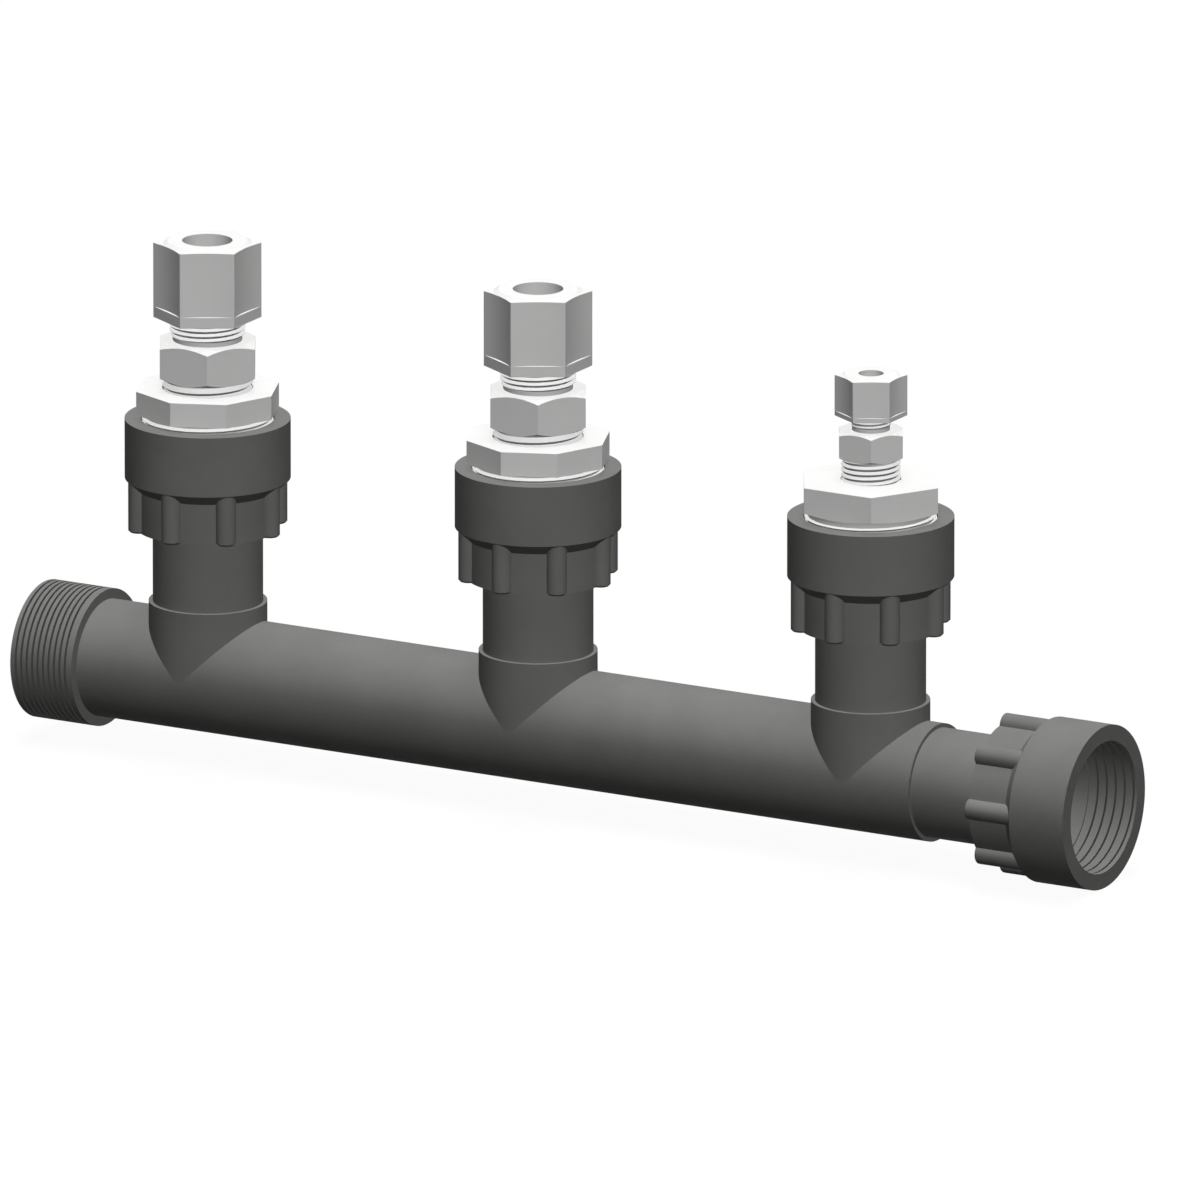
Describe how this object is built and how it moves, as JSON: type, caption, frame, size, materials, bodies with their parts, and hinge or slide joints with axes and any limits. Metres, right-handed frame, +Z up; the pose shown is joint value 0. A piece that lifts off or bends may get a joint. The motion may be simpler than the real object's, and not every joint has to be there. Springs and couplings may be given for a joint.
{
  "type": "sensor manifold",
  "caption": "In-line plastic pipe manifold with upright ports, each holding a compression fitting that grips a probe in the flow.",
  "frame": {"origin": "centre of the inlet's end face, on the run's axis", "axes": "+X along the run towards the outlet, +Z up the ports, +Y to the back"},
  "size_m": [0.2941, 0.0402, 0.128],
  "materials": {
    "pvc_grey": "satin moulded",
    "fitting_white": "satin moulded",
    "ferrule_natural": "smooth turned"
  },
  "bodies": {
    "root": {"manifold_body": "pvc_grey", "inlet_threaded_end": "pvc_grey", "outlet_nipple": "pvc_grey", "outlet_adapter": "pvc_grey", "riser_nipple_left": "pvc_grey", "port_adapter_left": "pvc_grey", "reducing_bushing_left": "fitting_white", "fitting_body_left": "fitting_white", "ferrule_left": "ferrule_natural", "grip_ring_left": "ferrule_natural", "fitting_nut_left": "fitting_white", "riser_nipple_middle": "pvc_grey", "port_adapter_middle": "pvc_grey", "reducing_bushing_middle": "fitting_white", "fitting_body_middle": "fitting_white", "ferrule_middle": "ferrule_natural", "grip_ring_middle": "ferrule_natural", "fitting_nut_middle": "fitting_white", "riser_nipple_right": "pvc_grey", "port_adapter_right": "pvc_grey", "reducing_bushing_right": "fitting_white", "fitting_body_right": "fitting_white", "ferrule_right": "ferrule_natural", "grip_ring_right": "ferrule_natural", "fitting_nut_right": "fitting_white"}
  },
  "joints": []
}
